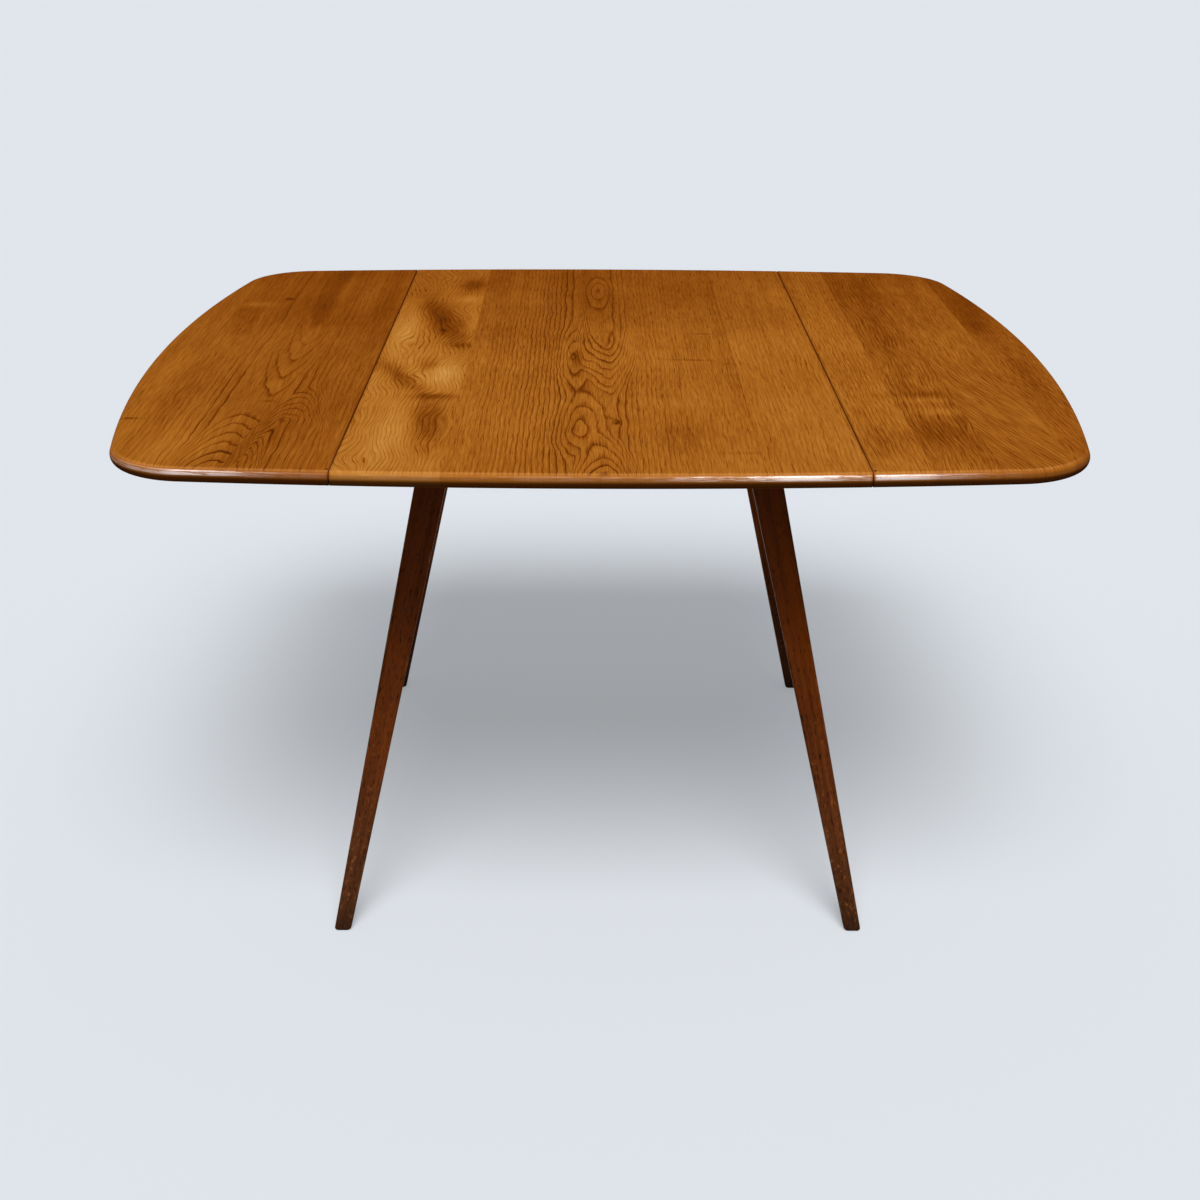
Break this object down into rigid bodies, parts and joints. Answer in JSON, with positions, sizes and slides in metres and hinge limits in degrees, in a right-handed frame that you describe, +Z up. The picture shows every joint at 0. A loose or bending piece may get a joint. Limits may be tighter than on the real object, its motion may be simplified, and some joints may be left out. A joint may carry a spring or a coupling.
{
  "type": "drop-leaf dining table",
  "caption": "Drop-leaf dining table with a barrel-shaped elm top, leaves that fold down on swivel bearers, and dark splayed and tapered legs.",
  "frame": {"origin": "on the floor, under the middle of the raised table top", "axes": "+Z up, +X along the raised length to the right leaf, -Y to the front"},
  "size_m": [1.2498, 1.1298, 0.715],
  "materials": {
    "elm_top": "satin lacquer over golden elm",
    "stained_leg": "dark stain, satin lacquer",
    "stained_frame": "brown stain, thin lacquer",
    "steel": "plain bright steel"
  },
  "bodies": {
    "table": {"back_cross_rail": "stained_frame", "back_fixing_block": "stained_frame", "back_left_leg": "stained_leg", "back_left_pivot_block": "stained_frame", "back_left_pivot_bolt": "steel", "back_right_leg": "stained_leg", "back_right_pivot_block": "stained_frame", "back_right_pivot_bolt": "steel", "centre_hinge_screws": "steel", "centre_top": "elm_top", "fixing_screws": "steel", "front_cross_rail": "stained_frame", "front_fixing_block": "stained_frame", "front_left_leg": "stained_leg", "front_left_pivot_block": "stained_frame", "front_left_pivot_bolt": "steel", "front_right_leg": "stained_leg", "front_right_pivot_block": "stained_frame", "front_right_pivot_bolt": "steel", "left_back_hinge_fixed_flap": "steel", "left_back_hinge_pin": "steel", "left_fixing_block": "stained_frame", "left_front_hinge_fixed_flap": "steel", "left_front_hinge_pin": "steel", "left_middle_hinge_fixed_flap": "steel", "left_middle_hinge_pin": "steel", "left_side_rail": "stained_frame", "pivot_block_screws": "steel", "pivot_washers": "steel", "right_back_hinge_fixed_flap": "steel", "right_back_hinge_pin": "steel", "right_fixing_block": "stained_frame", "right_front_hinge_fixed_flap": "steel", "right_front_hinge_pin": "steel", "right_middle_hinge_fixed_flap": "steel", "right_middle_hinge_pin": "steel", "right_side_rail": "stained_frame"},
    "left_leaf": {"left_leaf": "elm_top", "left_leaf_hinge_screws": "steel", "left_cleat_screws": "steel", "front_left_cleat": "stained_frame", "back_left_cleat": "stained_frame", "left_front_hinge_leaf_flap": "steel", "left_middle_hinge_leaf_flap": "steel", "left_back_hinge_leaf_flap": "steel"},
    "right_leaf": {"right_leaf": "elm_top", "right_leaf_hinge_screws": "steel", "right_cleat_screws": "steel", "front_right_cleat": "stained_frame", "back_right_cleat": "stained_frame", "right_front_hinge_leaf_flap": "steel", "right_middle_hinge_leaf_flap": "steel", "right_back_hinge_leaf_flap": "steel"},
    "front_left_bearer": {"front_left_bearer": "stained_frame"},
    "front_right_bearer": {"front_right_bearer": "stained_frame"},
    "back_left_bearer": {"back_left_bearer": "stained_frame"},
    "back_right_bearer": {"back_right_bearer": "stained_frame"}
  },
  "joints": [
    {"name": "left_leaf_fold", "type": "hinge", "parent": "table", "child": "left_leaf", "pos_m": [-0.31, 0, 0.692], "axis": [0, -1, 0], "range_deg": [0, 90]},
    {"name": "right_leaf_fold", "type": "hinge", "parent": "table", "child": "right_leaf", "pos_m": [0.31, 0, 0.692], "axis": [0, 1, 0], "range_deg": [0, 90]},
    {"name": "front_left_bearer_swing", "type": "hinge", "parent": "table", "child": "front_left_bearer", "pos_m": [-0.21, -0.3, 0.662], "axis": [0, 0, 1], "range_deg": [0, 180]},
    {"name": "front_right_bearer_swing", "type": "hinge", "parent": "table", "child": "front_right_bearer", "pos_m": [0.21, -0.3, 0.662], "axis": [0, 0, -1], "range_deg": [0, 180]},
    {"name": "back_left_bearer_swing", "type": "hinge", "parent": "table", "child": "back_left_bearer", "pos_m": [-0.21, 0.3, 0.662], "axis": [0, 0, -1], "range_deg": [0, 180]},
    {"name": "back_right_bearer_swing", "type": "hinge", "parent": "table", "child": "back_right_bearer", "pos_m": [0.21, 0.3, 0.662], "axis": [0, 0, 1], "range_deg": [0, 180]}
  ],
  "couplings": [
    {"joint": "front_left_bearer_swing", "follows": "left_leaf_fold", "ratio": 2},
    {"joint": "front_right_bearer_swing", "follows": "right_leaf_fold", "ratio": 2},
    {"joint": "back_left_bearer_swing", "follows": "left_leaf_fold", "ratio": 2},
    {"joint": "back_right_bearer_swing", "follows": "right_leaf_fold", "ratio": 2}
  ]
}
